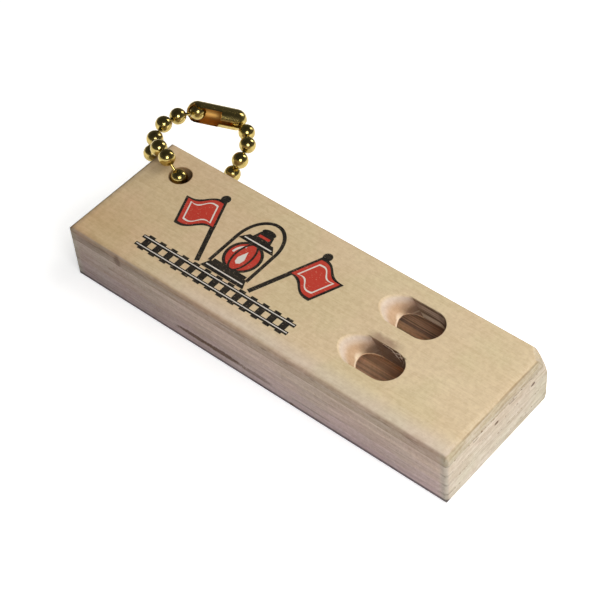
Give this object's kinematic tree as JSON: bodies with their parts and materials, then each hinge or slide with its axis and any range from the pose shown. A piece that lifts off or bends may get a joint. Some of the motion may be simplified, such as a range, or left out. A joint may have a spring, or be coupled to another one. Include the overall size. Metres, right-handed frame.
{
  "type": "train whistle",
  "caption": "Pocket train whistle: a plywood block bored with stopped pipes that have slot windows, on a short brass ball chain with a snap connector.",
  "frame": {"origin": "the middle of the front long side, halfway up", "axes": "+X along the block towards the mouth end, +Y from the front side to the back, +Z out of the top face"},
  "size_m": [0.0905, 0.0449, 0.0204],
  "materials": {
    "face_veneer": "sanded pale birch",
    "cross_veneer": "sanded end grain",
    "core_veneer": "sanded long grain",
    "stopper_wood": "sanded dowel",
    "chain_brass": "polished",
    "pin_brass": "bright",
    "connector_brass": "polished"
  },
  "bodies": {
    "block": {"veneer_1": "face_veneer", "veneer_2": "cross_veneer", "veneer_3": "core_veneer", "veneer_4": "cross_veneer", "veneer_5": "face_veneer", "low_stopper": "stopper_wood", "high_stopper": "stopper_wood"},
    "chain_root": {"bead_05": "chain_brass", "bead_06": "chain_brass", "bead_07": "chain_brass", "bead_08": "chain_brass", "bead_09": "chain_brass", "bead_10": "chain_brass", "bead_11": "chain_brass", "bead_12": "chain_brass", "bead_13": "chain_brass", "bead_14": "chain_brass", "link_pin_04": "pin_brass", "link_pin_05": "pin_brass", "link_pin_06": "pin_brass", "link_pin_07": "pin_brass", "link_pin_08": "pin_brass", "link_pin_09": "pin_brass", "link_pin_10": "pin_brass", "link_pin_11": "pin_brass", "link_pin_12": "pin_brass", "link_pin_13": "pin_brass", "link_pin_14": "pin_brass"},
    "chain_loop": {"bead_01": "chain_brass", "bead_02": "chain_brass", "bead_03": "chain_brass", "bead_04": "chain_brass", "bead_15": "chain_brass", "bead_16": "chain_brass", "bead_17": "chain_brass", "bead_18": "chain_brass", "bead_19": "chain_brass", "link_pin_01": "pin_brass", "link_pin_02": "pin_brass", "link_pin_03": "pin_brass", "link_pin_15": "pin_brass", "link_pin_16": "pin_brass", "link_pin_17": "pin_brass", "link_pin_18": "pin_brass"},
    "connector": {"connector": "connector_brass"}
  },
  "joints": [
    {"name": "chain_swing", "type": "hinge", "parent": "block", "child": "chain_root", "pos_m": [-0.03435, 0.0213, 0], "axis": [0, 0, 1], "range_deg": [-10, 35]},
    {"name": "loop_fold", "type": "hinge", "parent": "chain_root", "child": "chain_loop", "pos_m": [-0.0454, 0.02563, 0.00437], "axis": [0.6728, 0.4704, -0.571], "range_deg": [0, 20]},
    {"name": "clasp_open", "type": "hinge", "parent": "chain_loop", "child": "connector", "pos_m": [-0.04104, 0.04289, -0.00002], "axis": [-0.2076, -0.3489, -0.9139], "range_deg": [0, 50]}
  ]
}
